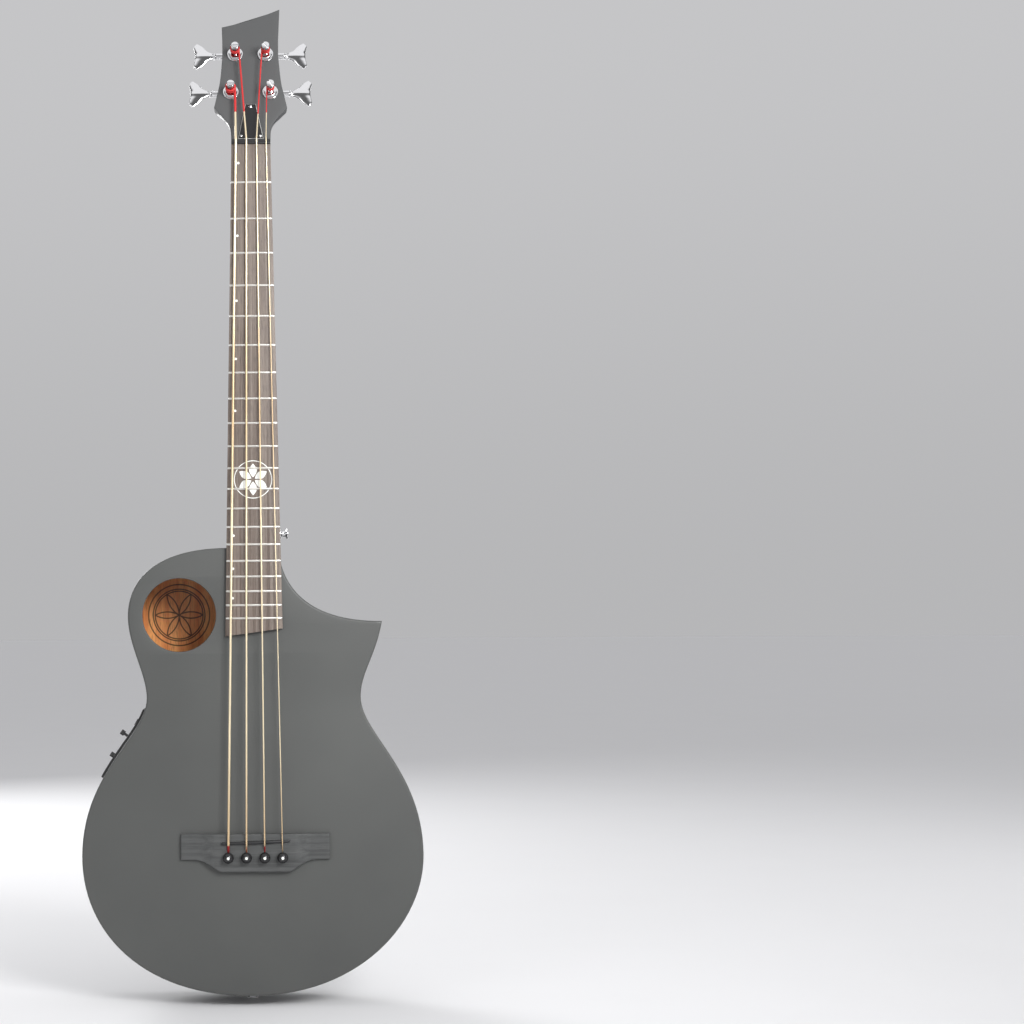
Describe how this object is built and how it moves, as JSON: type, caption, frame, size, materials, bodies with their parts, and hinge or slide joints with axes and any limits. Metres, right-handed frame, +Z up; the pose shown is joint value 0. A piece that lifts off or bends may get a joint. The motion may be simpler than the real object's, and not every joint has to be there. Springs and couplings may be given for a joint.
{
  "type": "acoustic bass guitar",
  "caption": "Flat-top acoustic bass with a pointed cutaway, an offset soundhole, a glued bridge with pins, open-geared tuners and a preamp in the rim.",
  "frame": {"origin": "middle of the fingerboard's edge at the nut, on the playing surface", "axes": "+Z up the neck towards the headstock, -Y out of the front, +X to the treble side"},
  "size_m": [0.37, 0.1136, 1.1048],
  "materials": {
    "matte_black": "matte lacquer",
    "neck_black": "satin lacquer",
    "rosewood": "oiled",
    "ebony": "satin",
    "gloss_black": "gloss",
    "spruce": "bare",
    "mahogany": "bare",
    "steel": "satin",
    "bronze": "polished wire",
    "chrome": "polished",
    "black_plastic": "moulded"
  },
  "bodies": {
    "instrument": {"soundboard": "matte_black", "back_plate": "matte_black", "preamp_panel": "black_plastic", "preamp_case": "black_plastic", "jack_plate": "black_plastic", "output_jack": "chrome", "top_lining": "spruce", "back_lining": "spruce", "neck_block": "mahogany", "end_pin": "chrome", "tail_block": "mahogany", "rim": "matte_black", "x_brace_bass": "spruce", "x_brace_treble": "spruce", "tone_bar": "spruce", "upper_brace": "spruce", "back_brace_1": "spruce", "back_brace_2": "spruce", "back_brace_3": "spruce", "bridge_plate": "mahogany", "bridge": "ebony", "saddle": "ebony", "pickup_strip": "steel", "strap_button": "chrome", "neck": "neck_black", "heel_cap": "ebony", "truss_rod": "steel", "fingerboard": "rosewood", "string_e": "bronze", "string_a": "bronze", "string_d": "bronze", "string_g": "bronze", "nut": "ebony", "truss_rod_cover": "gloss_black", "tuner_e_housing": "chrome", "tuner_e_bushing": "chrome", "tuner_a_housing": "chrome", "tuner_a_bushing": "chrome", "tuner_d_housing": "chrome", "tuner_d_bushing": "chrome", "tuner_g_housing": "chrome", "tuner_g_bushing": "chrome"},
    "key_e": {"tuner_e_key": "chrome"},
    "post_e": {"tuner_e_post": "chrome"},
    "key_a": {"tuner_a_key": "chrome"},
    "post_a": {"tuner_a_post": "chrome"},
    "key_d": {"tuner_d_key": "chrome"},
    "post_d": {"tuner_d_post": "chrome"},
    "key_g": {"tuner_g_key": "chrome"},
    "post_g": {"tuner_g_post": "chrome"},
    "pin_e": {"bridge_pin_e": "gloss_black"},
    "pin_a": {"bridge_pin_a": "gloss_black"},
    "pin_d": {"bridge_pin_d": "gloss_black"},
    "pin_g": {"bridge_pin_g": "gloss_black"},
    "truss_adjuster": {"truss_rod_nut": "steel"},
    "volume_control": {"volume_knob": "black_plastic"},
    "tone_control": {"tone_knob": "black_plastic"},
    "tuner_switch": {"tuner_button": "black_plastic"}
  },
  "joints": [
    {"name": "key_e_turn", "type": "hinge", "parent": "instrument", "child": "key_e", "pos_m": [-0.022, 0.04401, 0.06782], "axis": [-1, 0, 0], "continuous": true},
    {"name": "post_e_turn", "type": "hinge", "parent": "instrument", "child": "post_e", "pos_m": [-0.022, 0.022, 0.06336], "axis": [0, 0.9659, -0.2588], "continuous": true},
    {"name": "key_a_turn", "type": "hinge", "parent": "instrument", "child": "key_a", "pos_m": [-0.017, 0.05648, 0.11437], "axis": [-1, 0, 0], "continuous": true},
    {"name": "post_a_turn", "type": "hinge", "parent": "instrument", "child": "post_a", "pos_m": [-0.017, 0.03448, 0.10992], "axis": [0, 0.9659, -0.2588], "continuous": true},
    {"name": "key_d_turn", "type": "hinge", "parent": "instrument", "child": "key_d", "pos_m": [0.017, 0.05648, 0.11437], "axis": [1, 0, 0], "continuous": true},
    {"name": "post_d_turn", "type": "hinge", "parent": "instrument", "child": "post_d", "pos_m": [0.017, 0.03448, 0.10992], "axis": [0, 0.9659, -0.2588], "continuous": true},
    {"name": "key_g_turn", "type": "hinge", "parent": "instrument", "child": "key_g", "pos_m": [0.022, 0.04401, 0.06782], "axis": [1, 0, 0], "continuous": true},
    {"name": "post_g_turn", "type": "hinge", "parent": "instrument", "child": "post_g", "pos_m": [0.022, 0.022, 0.06336], "axis": [0, 0.9659, -0.2588], "continuous": true},
    {"name": "pin_e_pull", "type": "slide", "parent": "instrument", "child": "pin_e", "axis": [0, -1, 0], "range_m": [0, 0.03]},
    {"name": "pin_a_pull", "type": "slide", "parent": "instrument", "child": "pin_a", "axis": [0, -1, 0], "range_m": [0, 0.03]},
    {"name": "pin_d_pull", "type": "slide", "parent": "instrument", "child": "pin_d", "axis": [0, -1, 0], "range_m": [0, 0.03]},
    {"name": "pin_g_pull", "type": "slide", "parent": "instrument", "child": "pin_g", "axis": [0, -1, 0], "range_m": [0, 0.03]},
    {"name": "truss_adjuster_turn", "type": "hinge", "parent": "instrument", "child": "truss_adjuster", "pos_m": [0, 0.0135, 0.0102], "axis": [0, 0, 1], "range_deg": [-180, 180]},
    {"name": "volume_turn", "type": "hinge", "parent": "instrument", "child": "volume_control", "pos_m": [-0.13792, 0.05, -0.65331], "axis": [-0.8209, 0, 0.5711], "range_deg": [-135, 135]},
    {"name": "tone_turn", "type": "hinge", "parent": "instrument", "child": "tone_control", "pos_m": [-0.15279, 0.05, -0.67513], "axis": [-0.8312, 0, 0.556], "range_deg": [-135, 135]},
    {"name": "tuner_switch_press", "type": "slide", "parent": "instrument", "child": "tuner_switch", "axis": [0.8744, 0, -0.4852], "range_m": [0, 0.001], "stiffness_N_per_m": 500, "springref_m": -0.001}
  ],
  "couplings": [
    {"joint": "post_e_turn", "follows": "key_e_turn", "ratio": -0.05},
    {"joint": "post_a_turn", "follows": "key_a_turn", "ratio": -0.05},
    {"joint": "post_d_turn", "follows": "key_d_turn", "ratio": -0.05},
    {"joint": "post_g_turn", "follows": "key_g_turn", "ratio": -0.05}
  ]
}
